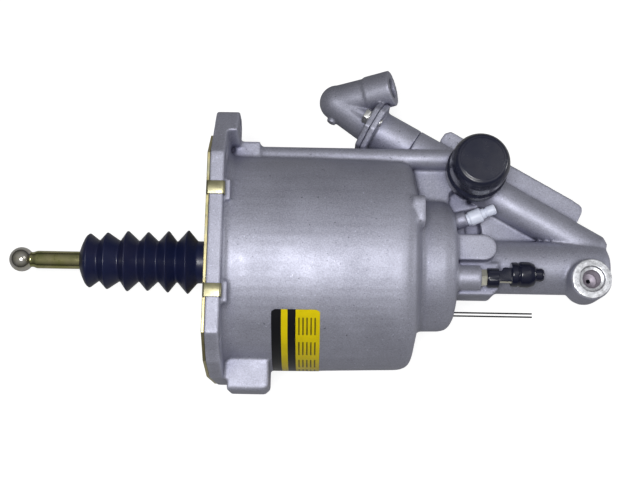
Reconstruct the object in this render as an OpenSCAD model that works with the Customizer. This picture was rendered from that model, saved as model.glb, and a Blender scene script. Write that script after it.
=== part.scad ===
// Truck clutch servo, lying with its port side up.
// Millimetres. Origin: centre of the mounting face, the cover plate's front, on the cylinder axis.
// +X runs along the cylinder to the rear, +Y to the air channel, +Z up.

/* [Flange and cover] */
// Flange thickness along X
flange_t = 9; // [8:0.5:10]
// Half distance between the two flange flats
flange_half_z = 79; // [77:0.5:80]
// Half length of each flat
flange_flat_y = 58.5; // [56:0.5:60]
// Radius of the flange bolt circle
bolt_circle_r = 86; // [85:0.5:87]
// Radius of each flange bolt hole
bolt_hole_r = 5.5; // [5.25:0.05:5.6]
// Cover plate thickness
plate_t = 2; // [1.5:0.25:2.5]
// Thickness of the spring clips
clip_t = 1; // [0.8:0.1:1.2]
// Height of the top lug above the axis
lug_y = 88; // [87:0.5:90]
// Radius of the hole in the top lug
lug_hole_r = 5.5; // [5:0.25:6]

/* [Air cylinder] */
// Bore radius of the air cylinder
bore_r = 66; // [65:0.5:67]
// Inner end of the air cylinder
bore_end_x = 131; // [130:0.5:132]
// Outer radius at the flange
body_r = 74.2; // [73.5:0.1:75]
// Outer radius of the neck
neck_r = 45.5; // [43:0.5:46]
// Stroke of the pushrod
stroke = 50; // [46:1:52]

/* [Pushrod and bellows] */
// X position of the ball centre at rest
ball_x = -134.5; // [-138:0.5:-133]
// Radius of the ball end
ball_r = 8.5; // [8:0.1:9]
// Pushrod radius
pushrod_r = 6.15; // [5.8:0.05:6.5]
// Rubber thickness of the bellows
bellows_t = 1.8; // [1.5:0.1:2.2]

/* [Hydraulics] */
// Outer radius of the hydraulic tube
tube_r = 18.4; // [18:0.1:19]
// Bore radius of the hydraulic cylinder
hyd_r = 13; // [12.5:0.1:13.5]
// Radius of the piston rod
rod_r = 9; // [8.5:0.1:9.5]
// Outer radius of the machined port ring
port_ring_r = 13.3; // [13:0.1:13.8]
// Wall radius of the port hole
port_hole_r = 5.1; // [5:0.05:5.5]
// Wall radius of the inlet hole
inlet_hole_r = 7; // [6.8:0.05:7.3]

/* [Control valve] */
// Angle between valve tube and cylinder axis
valve_angle = 29.5; // [29:0.1:30]
// Travel of the control piston
valve_travel = 3; // [2:0.5:3]
// Opening of the inlet poppet
poppet_travel = 1.5; // [1:0.25:1.5]

/* [Hidden] */
$fn = 96;
gap = 0.3;
run = 0.05;
flange_end = plate_t + flange_t;
lug_z = 32;
valve_x = 183;
valve_y = 58.2;
valve_bore_r = 9;
piston_bore_r = 7;
port_x = 255.6;
port_y = -11.8;
port_z = 28.8;
port_seat_z = 17;
cap_x = 178.5;
cap_y = 60.9;
cap_z = 31;
bleed_y = -12.3;
bleed_z = 28;
bleed_x = 181;
spring_r = 27;
spring_x = 26.3;
spring_end_x = 154;
ind_y = -33.3;
ind_gap = 2.3;
ind_wire_r = 0.55;
clip_ys = [-31.5, 34.5];
clip_w = 8.5;
root_r = body_r + 3.8;
body_top = sqrt(pow(root_r, 2) - pow(clip_ys[0] + clip_w / 2, 2));
clip_leg_z = max(flange_half_z - 5, body_top + gap);
channel_r = bore_r + 8.5;
bellows_r = 14.7;
bellows_end_x = -93;
piston_x = 7.3;
tube_end_x = 274.2;
bleed_block_x = 194.3;
cap_lean = [2.5, 0.6];
hyd_piston_x = 170;
seat_t = -30;
screw_r = 2;
screw_spots = [[167, 90], [243, 48], [176, 18.5], [250, 26]];
plate_z = -15;
cover_edge = [[160, 91.5], [163.5, 96.3], [166, 96.6], [249, 49.6], [254.5, 46], [255.4, 43], [251.5, 34.5], [260, 22],
    [258, 13], [169.5, 13], [169.5, 41], [163, 50]];

// Local frames
module along_x(x) { translate([x, 0, 0]) rotate([0, 90, 0]) children(); }
module from_valve(t) { translate([valve_x, valve_y, 0]) rotate([0, 0, -valve_angle]) translate([t, 0, 0]) rotate([0, 90, 0]) children(); }
module valve_frame() { translate([valve_x, valve_y, 0]) rotate([0, 0, -valve_angle]) children(); }
module from_flange(x) { translate([x, 0, 0]) rotate([90, 0, 90]) children(); }
module lathe_x(points) { rotate([0, 90, 0]) rotate_extrude() polygon(points); }
module ring_x(x, h, r_out, r_in) {
    along_x(x) difference() {
        cylinder(h = h, r = r_out);
        translate([0, 0, -1]) cylinder(h = h + 2, r = r_in);
    }
}
module ring_valve(t, h, r_out, r_in) {
    from_valve(t) difference() {
        cylinder(h = h, r = r_out);
        translate([0, 0, -1]) cylinder(h = h + 2, r = r_in);
    }
}
module lathe_valve(points) { from_valve(0) rotate_extrude() polygon(points); }
module plug_frame() { translate([158.7, 26.5, 12.5]) rotate([0, 0, 18]) rotate([0, 80, 0]) children(); }
// Round wire coiled about Z, drawn as one slice that turns as it rises
function coil_slice(r, wire, pitch, n) = [for (i = [0:n - 1])
    let (a = 360 * i / n, rho = r + wire * cos(a), turn = wire * sin(a) * 360 / pitch)
    [rho * cos(turn), rho * sin(turn)]];
module coil(r, wire, pitch, turns, n, steps) {
    linear_extrude(height = pitch * turns, twist = -360 * turns, slices = steps * turns, segments = n, $fn = n)
        polygon(coil_slice(r, wire, pitch, n));
}

// Outline of the flange in the Y-Z plane, shrunk by an edge margin
module flange_outline(edge) {
    polygon([
        [flange_flat_y - edge / 2, flange_half_z - edge], [75 - edge, 60 - edge / 2],
        [83.5 - edge, 30], [83.5 - edge, -30], [75 - edge, -60 + edge / 2],
        [flange_flat_y - edge / 2, edge - flange_half_z],
        [edge / 2 - flange_flat_y, edge - flange_half_z], [edge - 75, -60 + edge / 2],
        [edge - 82.5, -30], [edge - 82.5, 30], [edge - 75, 60 - edge / 2],
        [edge / 2 - flange_flat_y, flange_half_z - edge]]);
}
module bolt_holes(x, h) {
    for (a = [45, 135, 225, 315])
        rotate([a, 0, 0]) translate([x, bolt_circle_r, 0]) rotate([0, 90, 0]) cylinder(h = h, r = bolt_hole_r);
}

module housing_outside() {
    // Flange with its top lug and bottom block
    from_flange(plate_t) linear_extrude(flange_t) flange_outline(0);
    from_flange(plate_t) linear_extrude(flange_t) translate([lug_y, lug_z])
        polygon([[flange_flat_y - lug_y, flange_half_z - lug_z], [-10, 30], [5, 16.5], [9, 8], [9, -8], [4, -14], [-12, -16], [-28, -12]]);
    from_flange(plate_t) linear_extrude(15.5) translate([lug_y, lug_z])
        polygon([[-10, 30], [5, 16.5], [9, 8], [9, -8], [4, -14], [-10, -14], [-14, 8]]);
    difference() {
        translate([13.2, -90, -14]) cube([27.4, 36, 42]);
        translate([13.2, -90, 28]) rotate([0, 90, 0]) translate([0, 0, -1]) cylinder(h = 34, r = 2, $fn = 4);
        translate([13.2, -90, -14]) rotate([0, 90, 0]) translate([0, 0, -1]) cylinder(h = 34, r = 3, $fn = 4);
        translate([40.6, -90, -15]) cylinder(h = 44, r = 3.5, $fn = 4);
    }
    // Pads behind the flange at the clips
    for (s = [0, 180]) rotate([s, 0, 0]) for (y = clip_ys)
        translate([flange_end - 1, y - 7, clip_leg_z - 19]) cube([5, 14, 18.6]);
    // Air cylinder, end wall and neck
    lathe_x([[0, plate_t], [root_r, plate_t], [root_r, flange_end], [body_r + 2.2, flange_end + 0.7],
        [body_r + 0.9, flange_end + 2], [body_r, flange_end + 4], [body_r - 0.4, 70], [body_r - 1.9, 125.4], [body_r - 2.4, 129.2],
        [body_r - 3.7, 132.6], [body_r - 5.7, 134.8], [body_r - 8.7, 136.2], [neck_r + 2, 140.1], [neck_r, 142],
        [neck_r - 0.3, spring_end_x + 2], [neck_r - 1.5, spring_end_x + 6.3], [neck_r - 4, spring_end_x + 8.8],
        [neck_r - 7.5, spring_end_x + 10.7], [neck_r - 13, spring_end_x + 12], [0, spring_end_x + 12]]);
    // Boss on the end wall
    translate([133.2, 25, 60]) rotate([0, 90, 0]) hull() {
        translate([0, 6, 0]) cylinder(h = 8, r = 5, $fn = 32);
        translate([0, -4, 0]) cylinder(h = 8, r = 5, $fn = 32);
    }
    translate([129.2, 15, 50]) cube([11, 20, 10]);
    // Air channel along the top
    translate([14, body_r - 14, 8]) cube([17, 20, 19.6]);
    rotate([15, 0, 0]) {
        translate([10, channel_r, 0]) rotate([0, 90, 0]) cylinder(h = 158, r = 6.7);
        translate([14, 60, -6.7]) cube([118, channel_r - 60, 13.4]);
    }
    // Hydraulic tube with its closed end
    lathe_x([[0, 160], [tube_r, 160], [tube_r, tube_end_x - 15], [tube_r - 0.3, tube_end_x - 10.2],
        [tube_r - 1.8, tube_end_x - 5.7], [tube_r - 4.4, tube_end_x - 2.6], [tube_r - 8.4, tube_end_x - 0.7], [0, tube_end_x]]);
    // Port boss
    translate([port_x, port_y, 1]) cylinder(h = port_z - 1, r = port_ring_r + 0.6);
    // Control valve tube, thick to the left of the cap
    from_valve(-53) cylinder(h = 41, r = 14.4);
    from_valve(-13) cylinder(h = 107, r = 12.2);
    from_valve(94) cylinder(h = 5, r1 = 12.2, r2 = 9);
    // Boss under the breather cap
    translate([cap_x, cap_y, 0]) cylinder(h = 20, r1 = 13, r2 = 15.6);
    translate([cap_x, cap_y, 19]) cylinder(h = cap_z - 19, r = 17.5);
    // Plate behind the valve tube
    difference() {
        translate([0, 0, plate_z]) linear_extrude(-3 - plate_z) union() {
            polygon([[158, 93], [161.4, 98], [165.8, 99.1], [251, 50.4], [257, 46.2], [258.4, 43.8],
                [257.9, 41.2], [253.8, 33], [266, 16], [260.5, 0], [160, 0], [160, 47]]);
        }
        translate([164, 20, -12]) linear_extrude(12) polygon([[11, 19], [20.3, 20.5], [22.2, 8], [22.9, 3.5], [11, 3.5]]);
    }
    // Web between end wall and valve tube
    translate([0, 0, -9]) linear_extrude(24) polygon([[130, 68], [160.5, 68], [162.2, 58.7], [165.5, 51.9], [162, 49], [161.4, 40], [130, 40]]);
    // Flat beside the cap
    translate([0, 0, -9]) linear_extrude(11) polygon([[160, 53], [172, 53], [171.7, 47.5], [183.4, 42.1], [177.5, 40.4], [167.2, 37.6], [160, 37]]);
    // Pad on the hydraulic tube
    linear_extrude(24.5) union() {
        translate([163, 0.5]) square([21, 18]);
        translate([184, 9.5]) circle(r = 9);
    }
    // Block and boss of the bleed screw
    difference() {
        translate([162, -22.8, -8]) cube([bleed_block_x - 162, 22, 28]);
        translate([bleed_block_x, -22.8, -9]) cylinder(h = 40, r = 4, $fn = 4);
    }
    translate([162, bleed_y, bleed_z]) rotate([0, 90, 0]) cylinder(h = bleed_x - 162, r = 8.5);
    // Boss of the vent plug
    plug_frame() cylinder(h = 16, r = 5.8);
}

module housing() {
    color([0.62, 0.63, 0.67]) difference() {
        housing_outside();
        // Air cylinder bore, neck cavity and rod bore
        along_x(-1) cylinder(h = bore_end_x + 1, r = bore_r);
        along_x(4.5) cylinder(h = 2.8, r = bore_r + 2.2);
        along_x(bore_end_x - 1) cylinder(h = spring_end_x - bore_end_x + 1, r = 36);
        along_x(spring_end_x - 1) cylinder(h = 12, r = 14);
        along_x(spring_end_x + 10) cylinder(h = 256 - spring_end_x, r = hyd_r);
        bolt_holes(-1, flange_end + 2);
        for (a = [45, 135, 225, 315]) rotate([a, 0, 0]) translate([flange_end, bolt_circle_r, 0])
            rotate([0, 90, 0]) cylinder(h = 14, r = 10);
        translate([-1, lug_y, lug_z]) rotate([0, 90, 0]) cylinder(h = 20, r = lug_hole_r);
        // Threaded hole in the bottom block
        translate([18, -80.5, 7]) rotate([0, 90, 0]) cylinder(h = 24, r = 4.25);
        // Air channel and its two ends
        rotate([15, 0, 0]) {
            translate([3.3, channel_r, 0]) rotate([0, 90, 0]) cylinder(h = 174.7, r = 3.2);
            translate([3.9, 60, 0]) rotate([-90, 0, 0]) cylinder(h = channel_r - 60, r = 1.2);
        }
        // Control valve bore, its drilling and its vents
        from_valve(-54) cylinder(h = 66, r = valve_bore_r);
        from_valve(5) cylinder(h = 61, r = piston_bore_r);
        from_valve(60) cylinder(h = 35, r = 2);
        from_valve(3) rotate([0, -90, 0]) cylinder(h = 17, r = 5);
        translate([cap_x, cap_y, 15.5]) cylinder(h = cap_z, r = 12.5);
        translate([128, 61.5, 0]) rotate([0, 90, 0]) cylinder(h = 35, r = 3.6);
        // Port: seat for the ring, then the drilling into the rod bore
        translate([port_x, port_y, port_seat_z]) cylinder(h = 20, r = 11.5);
        translate([port_x, port_y, 2]) cylinder(h = port_z, r = 4.2);
        // Bleed screw hole and drilling
        translate([bleed_x - 16, bleed_y, bleed_z]) rotate([0, 90, 0]) cylinder(h = 18, r = 4.3);
        translate([bleed_x - 13, bleed_y, 2]) cylinder(h = bleed_z - 2, r = 2);
        // Vent plug hole
        plug_frame() translate([0, 0, 3]) cylinder(h = 20, r = 3.3);
        // Wear indicator hole
        translate([spring_end_x - 1, ind_y, 0]) rotate([0, 90, 0]) cylinder(h = 20, r = 4.4);
        // Holes of the plate screws
        for (p = screw_spots) translate([p[0], p[1], plate_z - 1]) cylinder(h = 8, r = screw_r + gap);
    }
}

module cover_plate() {
    color([0.72, 0.62, 0.36]) difference() {
        from_flange(0) linear_extrude(plate_t) flange_outline(0.8);
        along_x(-1) cylinder(h = plate_t + 2, r = bellows_r + gap);
        bolt_holes(-1, plate_t + 2);
        // Pockets that take the front legs of the clips flush
        for (s = [0, 180]) rotate([s, 0, 0]) for (y = clip_ys)
            translate([-1, y - clip_w / 2 - gap, flange_half_z - 9 - gap]) cube([clip_t + 1, clip_w + 2 * gap, 12]);
    }
}

module cover_clips() {
    color([0.74, 0.63, 0.38])
    for (s = [0, 180]) rotate([s, 0, 0]) for (y = clip_ys) translate([0, y - clip_w / 2, 0]) {
        translate([0, 0, flange_half_z]) cube([flange_end + clip_t, clip_w, clip_t]);
        translate([0, 0, flange_half_z - 9]) cube([clip_t, clip_w, 9.5]);
        translate([flange_end, 0, clip_leg_z]) cube([clip_t, clip_w, flange_half_z + clip_t - clip_leg_z]);
    }
}

module stop_ring() {
    color([0.3, 0.3, 0.32]) difference() {
        ring_x(5, 2, bore_r + 1.9, bore_r - 4);
        translate([4, -3.5, 55]) cube([4, 7, 20]);
    }
}

module bellows() {
    px = [for (u = [91.2, 89.2, 86.8, 80.2, 74.6, 65.9, 60.5, 52.5, 46.4, 39.2, 32.3, 26, 18.4, 11.3]) u * bellows_end_x / 93];
    pr = [10.8, 14.9, 18.8, 14.4, 19.7, 14.4, 21, 14.4, 20.5, 14.4, 21.4, 14.4, 22.1, bellows_r];
    n = len(px) - 1;
    color([0.05, 0.05, 0.055]) lathe_x(concat(
        [[pushrod_r + gap, bellows_end_x], [7.6, bellows_end_x]],
        [for (i = [0:n]) [pr[i], px[i]]],
        [[bellows_r, plate_t], [bellows_r + 2.8, plate_t], [bellows_r + 2.8, plate_t + 2], [11, plate_t + 2]],
        [for (i = [n:-1:2]) [pr[i] - bellows_t, px[i]]],
        [[10.6, px[0] + 3.5], [pushrod_r + gap, px[0] + 3.5]]));
}

module pushrod() {
    color([0.72, 0.62, 0.34]) union() {
        translate([ball_x, 0, 0]) sphere(r = ball_r);
        lathe_x([[0, ball_x + 5], [5.2, ball_x + 5], [5.2, ball_x + 8.4], [pushrod_r, ball_x + 11], [pushrod_r, 14], [0, 14]]);
        translate([14, 0, 0]) sphere(r = 8);
    }
}

module air_piston() {
    color([0.66, 0.67, 0.7]) difference() {
        rim = bore_r - 0.4;
        lathe_x([[0, 8], [15, 8], [16, 9], [17.5, 15], [rim - 11.6, 15], [rim - 7.6, piston_x], [rim, piston_x], [rim, 10.3],
            [rim - 4.8, 10.3], [rim - 4.8, 14.3], [rim, 14.3], [rim, 17.3], [rim - 3.8, 17.3], [rim - 3.8, 23.3], [rim, 23.3],
            [rim, 26.3], [rim - 5.6, 26.3], [rim - 7.6, 21.3], [36, 21.3], [35, 26], [25, 26], [24, 21.3], [17, 21.3], [16, 35],
            [15, 36], [0, 36]]);
        along_x(7) cylinder(h = 7, r = 8.3);
        translate([14, 0, 0]) sphere(r = 8.3);
        along_x(24) cylinder(h = 20, r = rod_r + gap);
    }
}

module piston_seal() {
    color([0.04, 0.04, 0.04]) lathe_x([[bore_r - 4.9, 10.6], [bore_r - 1.7, 10.6], [bore_r - gap, 11.2],
        [bore_r - gap, 12], [bore_r - 1.7, 14], [bore_r - 4.9, 14]]);
}

module guide_ring() {
    color([0.16, 0.13, 0.1]) ring_x(17.6, 5.4, bore_r - gap, bore_r - 3.9);
}

module piston_rod() {
    color([0.7, 0.7, 0.72]) difference() {
        lathe_x([[0, 24], [rod_r - 0.6, 24], [rod_r, 25], [rod_r, hyd_piston_x - 2], [6, hyd_piston_x - 2], [6, 190], [5.4, 191], [0, 191]]);
        ring_x(187.5, 1.3, 8, 5.2);
    }
}

module hydraulic_piston() {
    color([0.66, 0.66, 0.69]) difference() {
        lathe_x([[6 + gap, hyd_piston_x - 2], [11, hyd_piston_x - 2], [hyd_r - 0.35, hyd_piston_x], [hyd_r - 0.35, 175], [9.5, 175],
            [9.5, 181], [hyd_r - 0.35, 181], [hyd_r - 0.35, 185.5], [11, 187.2], [6 + gap, 187.2]]);
    }
}

module hydraulic_seal() {
    color([0.04, 0.04, 0.04]) lathe_x([[9.8, 175.3], [12, 175.3], [12, 177], [hyd_r - gap, 179.6], [hyd_r - gap, 180.7], [11.4, 180.7], [10.8, 178.4], [9.8, 178.4]]);
}

module rod_clip() {
    color([0.25, 0.25, 0.27]) difference() {
        ring_x(187.5, 1.1, 8.4, 5.5);
        translate([187, -1.6, 3]) cube([2.2, 3.2, 8]);
    }
}

module return_spring() {
    color([0.3, 0.31, 0.33]) along_x(spring_x) union() {
        translate([0, 0, 2]) coil(spring_r, 2, (spring_end_x - spring_x - 4.4) / 7, 7, 14, 16);
        rotate_extrude() translate([spring_r, 2]) circle(r = 2, $fn = 16);
        translate([0, 0, spring_end_x - spring_x - 2]) rotate_extrude() translate([spring_r, 0]) circle(r = 2, $fn = 16);
    }
}

module rod_gland() {
    color([0.72, 0.6, 0.3]) translate([spring_end_x, 0, 0]) lathe_x([[rod_r + gap, -8], [17, -8], [17, 0], [13.7, 0], [13.7, 9],
        [12, 10], [11.2, 10], [11.2, 6.4], [rod_r + gap, 6.4]]);
}

module gland_seal() {
    color([0.04, 0.04, 0.04]) ring_x(spring_end_x + 6.4, 3.4, 10.9, rod_r + gap);
}

module inlet_tube() {
    color([0.62, 0.63, 0.67]) difference() {
        union() {
            from_valve(-84) cylinder(h = 31, r = 14.4);
            from_valve(-54) cylinder(h = 4, r = valve_bore_r - gap);
            from_valve(-84) linear_extrude(4) elbow_flange();
        }
        from_valve(-85) cylinder(h = 33, r = 6.5);
        from_valve(-55) cylinder(h = 10, r = 3.5);
        from_valve(-84.5) difference() { cylinder(h = 2.1, r = 10.8); cylinder(h = 2.1, r = 8.4); }
        for (s = [-1, 1]) from_valve(-85) translate([bolt_off * s, 0, 0]) cylinder(h = 8, r = 3.3);
    }
}

bolt_off = 18.6;
module elbow_flange() { polygon([[-25, -8], [-25, 7], [-16, 15.5], [16, 15.5], [25, 7], [25, -8], [15, -21], [-15, -21]]); }
elbow_k = [83.6, 117.9];
elbow_a = 10.3;
elbow_tilt = 19.5;
module outlet(l) { translate([elbow_k[0], elbow_k[1], 0]) rotate([0, 0, elbow_a]) rotate([0, 90 - elbow_tilt, 0]) translate([0, 0, l]) children(); }
module inlet_elbow() {
    color([0.62, 0.63, 0.67]) difference() {
        union() {
            from_valve(-88) linear_extrude(4) elbow_flange();
            hull() {
                from_valve(-86) cylinder(h = 1, r = 13.2, $fn = 48);
                translate([elbow_k[0], elbow_k[1], 0]) sphere(r = 12.6, $fn = 40);
            }
            outlet(0) cylinder(h = 25, r1 = 12.2, r2 = 11.8);
            outlet(23.5) cylinder(h = 18.5, r = 12.7);
            // Cast knob at the bend
            from_valve(-112.5) rotate([90, 0, 0]) cylinder(h = 12.4, r = 3.4);
        }
        from_valve(-114) cylinder(h = 40, r = 6.5);
        outlet(0) cylinder(h = 50, r = 6);
        outlet(26) cylinder(h = 20, r = inlet_hole_r);
        from_valve(-84) linear_extrude(5) translate([-17, -19]) square([34, 35]);
        for (s = [-1, 1]) {
            from_valve(-92) translate([bolt_off * s, 0, 0]) cylinder(h = 10, r = 3.3);
            from_valve(-104) translate([bolt_off * s, 0, 0]) cylinder(h = 16, r = 6.3);
        }
    }
}

module elbow_seal() {
    color([0.04, 0.04, 0.04]) ring_valve(-84, 1.5, 10.6, 8.6);
}

module elbow_bolts() {
    color([0.7, 0.7, 0.66]) for (s = [-1, 1]) translate([0, 0, 0]) {
        from_valve(-92.2) translate([bolt_off * s, 0, 0]) cylinder(h = 4.2, r = 5.77, $fn = 6);
        from_valve(-89) translate([bolt_off * s, 0, 0]) cylinder(h = 10, r = 3);
    }
}

module valve_seat() {
    color([0.72, 0.6, 0.3]) lathe_valve([[4.6, seat_t], [5.6, seat_t], [6.2, seat_t + 1], [valve_bore_r - gap, seat_t + 1],
        [valve_bore_r - gap, seat_t + 4.5], [4.6, seat_t + 4.5]]);
}

module inlet_poppet() {
    color([0.1, 0.1, 0.1]) lathe_valve([[0, seat_t - 12.3], [2.2, seat_t - 12.3], [2.6, seat_t - 11.8], [2.6, seat_t - 5.3],
        [6.6, seat_t - 5.3], [7, seat_t - 4.8], [7, seat_t - gap], [0, seat_t - gap]]);
}

module poppet_spring() {
    color([0.45, 0.46, 0.48]) from_valve(-50) translate([0, 0, 0.7]) coil(4.6, 0.6, 2.6, 5, 10, 14);
}

module control_piston() {
    color([0.72, 0.6, 0.3]) difference() {
        lathe_valve([[0, seat_t + 1.3], [3.4, seat_t + 1.3], [3.4, -10], [8.7, -10], [8.7, -8.9], [7.3, -8.9], [7.3, -6.9], [8.7, -6.9],
            [8.7, -5.5], [3.4, -5.5], [3.4, 28], [6.7, 28], [6.7, 32], [5, 32], [5, 34.4], [6.7, 34.4], [6.7, 46], [5, 46],
            [5, 48.4], [6.7, 48.4], [6.7, 52], [0, 52]]);
        from_valve(seat_t) cylinder(h = 34, r = 1.8);
        from_valve(2) rotate([90, 0, 0]) translate([0, 0, -6]) cylinder(h = 12, r = 1.4);
    }
}

module control_seals() {
    color([0.04, 0.04, 0.04]) {
        ring_valve(-8.7, 1.6, 8.7, 7.5);
        ring_valve(32.2, 2, 6.7, 5.2);
        ring_valve(46.2, 2, 6.7, 5.2);
    }
}

module valve_spring() {
    color([0.45, 0.46, 0.48]) from_valve(seat_t + 4.5) translate([0, 0, 0.9]) coil(6.6, 0.8, 2.76, 5, 10, 14);
}

module breather_cap() {
    color([0.05, 0.05, 0.055]) translate([cap_x, cap_y, 0]) rotate_extrude() polygon([[17.8, 27], [20, 26.4], [20.7, 27.4], [20.7, 37],
        [20.1, 37.9], [19.1, 38.4], [18.9, 40.6], [19.6, 41.4], [19.6, 54], [19, 57.3], [17.6, 60.2], [16, 61.7], [14.5, 62.3], [0, 62.3],
        [0, 58.8], [14.2, 58.8], [15.8, 57], [15.8, cap_z], [17.8, cap_z]]);
}

module exhaust_filter() {
    color([0.5, 0.48, 0.42]) translate([cap_x, cap_y, cap_z]) difference() {
        cylinder(h = 5, r = 15.2);
        for (a = [0:60:300]) rotate([0, 0, a]) translate([8, 0, -1]) cylinder(h = 7, r = 1.5);
    }
}

module port_ring() {
    color([0.8, 0.79, 0.76]) translate([port_x, port_y, 0]) rotate_extrude() polygon([[1.5, port_seat_z], [11.2, port_seat_z],
        [11.2, port_z], [port_ring_r, port_z], [port_ring_r, port_z + 1], [port_ring_r - 0.5, port_z + 1.5], [8.6, port_z + 1.5],
        [8.2, port_z - 0.2], [port_hole_r + 1, port_z - 0.6], [port_hole_r, port_z - 1.5],
        [port_hole_r, port_seat_z + 1.6], [1.5, port_seat_z + 0.6]]);
}

module bleed_screw() {
    color([0.72, 0.66, 0.46]) translate([0, bleed_y, bleed_z]) difference() {
        union() {
            lathe_x([[0, bleed_x - 14], [1.4, bleed_x - 14], [4, bleed_x - 10.5], [4, bleed_x + 2], [3.2, bleed_x + 5],
                [3.2, bleed_x + 19.5], [3.9, bleed_x + 21.5], [3.9, bleed_x + 23], [2.9, bleed_x + 27], [0, bleed_x + 27]]);
            along_x(bleed_x + gap) cylinder(h = 3.6, r = 6, $fn = 6);
        }
        along_x(bleed_x - 8) cylinder(h = 40, r = 1.1);
        translate([bleed_x - 7, 0, -6]) cylinder(h = 12, r = 0.9);
    }
}

module bleed_cap() {
    color([0.04, 0.04, 0.045]) translate([0, bleed_y, bleed_z]) {
        difference() {
            translate([0, cap_lean[0], cap_lean[1]]) lathe_x([[0, 201.3], [7.8, 201.3], [8.3, 201.9], [8.3, 205.3], [7.6, 206.1],
                [8.7, 207.5], [8.7, 213.5], [7.2, 216.9], [4.5, 217.7], [4.5, 221.9], [3.6, 223.2], [0, 223.2]]);
            lathe_x([[0, 200.9], [4.2, 200.9], [4.2, 210.9], [3.2, 213.9], [0, 213.9]]);
        }
        ring_x(bleed_x + 4.2, 8, 6.6, 4.2);
        translate([bleed_x + 4.2, -3.2, 4.4]) cube([19.9, 7.6, 1.8]);
        translate([bleed_block_x + 0.7, -3.2, 4.4]) cube([7.3, 9.9, 2.2]);
    }
}

module vent_plug() {
    color([0.93, 0.93, 0.92]) plug_frame() rotate_extrude() polygon([[0, 4], [3, 4], [3, 16], [5.1, 16], [5.1, 26.6], [3.6, 27.2],
        [3.6, 35.8], [2.8, 36.8], [0, 36.8]]);
}

module wear_indicator() {
    color([0.35, 0.35, 0.37]) translate([0, ind_y, 0]) union() {
        for (s = [-1, 1]) translate([98, s * ind_gap / 2, 0]) rotate([0, 90, 0]) cylinder(h = 122.2, r = ind_wire_r, $fn = 24);
        translate([98, -ind_gap / 2, 0]) rotate([-90, 0, 0]) cylinder(h = ind_gap, r = ind_wire_r, $fn = 24);
    }
}

module indicator_bush() {
    color([0.05, 0.05, 0.05]) translate([0, ind_y, 0]) difference() {
        along_x(spring_end_x + 0.5) cylinder(h = 9.5, r = 4.1);
        for (s = [-1, 1]) translate([spring_end_x, s * ind_gap / 2, 0]) rotate([0, 90, 0]) cylinder(h = 16, r = ind_wire_r + gap, $fn = 24);
    }
}

module valve_cover() {
    color([0.5, 0.5, 0.52]) difference() {
        translate([0, 0, plate_z - 1.5]) linear_extrude(1.5) polygon(cover_edge);
        for (p = screw_spots) translate([p[0], p[1], plate_z - 2]) cylinder(h = 3, r = screw_r + gap);
    }
}

module cover_screws() {
    color([0.7, 0.7, 0.68]) for (p = screw_spots) translate([p[0], p[1], 0]) {
        translate([0, 0, plate_z - 2]) cylinder(h = 8, r = screw_r);
        translate([0, 0, plate_z - 4]) difference() {
            cylinder(h = 2.5, r = 3.8);
            translate([0, 0, -1]) cylinder(h = 2.2, r = 1.7, $fn = 6);
        }
    }
}

module label() {
    color([0.85, 0.68, 0.05]) rotate([0, 90, 0]) rotate([0, 0, 213]) rotate_extrude(angle = 65) translate([body_r, 0]) polygon([
        [-0.12, 42.5], [0.13, 42.5], [-0.02, 70], [-0.14, 74], [-0.39, 74], [-0.28, 70]]);
}

housing();
cover_plate();
cover_clips();
stop_ring();
bellows();
pushrod();
air_piston();
piston_seal();
guide_ring();
piston_rod();
hydraulic_piston();
hydraulic_seal();
rod_clip();
return_spring();
rod_gland();
gland_seal();
inlet_tube();
inlet_elbow();
elbow_seal();
elbow_bolts();
valve_seat();
inlet_poppet();
poppet_spring();
control_piston();
control_seals();
valve_spring();
breather_cap();
exhaust_filter();
port_ring();
bleed_screw();
bleed_cap();
vent_plug();
wear_indicator();
indicator_bush();
valve_cover();
cover_screws();
label();
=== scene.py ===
"""Looks of the clutch servo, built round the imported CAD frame.

The part's sizes and places are in millimetres, the studio's in metres.
Both use the part's own frame: +X to the rear, +Y to the air channel, +Z up.
"""

import math

import bmesh
import bpy
from mathutils import Matrix, Vector

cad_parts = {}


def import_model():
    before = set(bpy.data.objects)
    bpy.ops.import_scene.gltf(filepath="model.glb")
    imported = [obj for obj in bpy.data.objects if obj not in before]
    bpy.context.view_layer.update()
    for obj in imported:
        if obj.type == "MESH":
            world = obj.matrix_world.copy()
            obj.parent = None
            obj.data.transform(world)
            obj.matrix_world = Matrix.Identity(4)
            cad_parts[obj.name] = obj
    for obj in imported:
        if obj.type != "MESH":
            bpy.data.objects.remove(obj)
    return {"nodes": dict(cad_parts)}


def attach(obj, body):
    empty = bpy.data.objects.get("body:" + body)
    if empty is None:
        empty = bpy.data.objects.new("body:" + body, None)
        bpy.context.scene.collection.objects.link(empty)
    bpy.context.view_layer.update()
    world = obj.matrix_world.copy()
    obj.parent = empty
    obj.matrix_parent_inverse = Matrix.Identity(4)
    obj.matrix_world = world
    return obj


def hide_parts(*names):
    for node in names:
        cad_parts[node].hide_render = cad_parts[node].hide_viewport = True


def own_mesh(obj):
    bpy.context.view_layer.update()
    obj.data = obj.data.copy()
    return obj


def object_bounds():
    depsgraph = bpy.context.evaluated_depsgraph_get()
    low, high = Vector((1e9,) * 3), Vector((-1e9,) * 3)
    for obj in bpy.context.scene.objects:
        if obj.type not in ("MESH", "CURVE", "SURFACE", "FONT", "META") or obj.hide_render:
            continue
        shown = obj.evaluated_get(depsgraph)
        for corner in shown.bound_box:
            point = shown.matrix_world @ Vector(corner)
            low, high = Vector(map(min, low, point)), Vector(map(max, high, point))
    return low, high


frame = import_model()
CAD_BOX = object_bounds()
NODES = frame["nodes"]
MM = 0.001
X, Y, Z = Vector((1, 0, 0)), Vector((0, 1, 0)), Vector((0, 0, 1))

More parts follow.
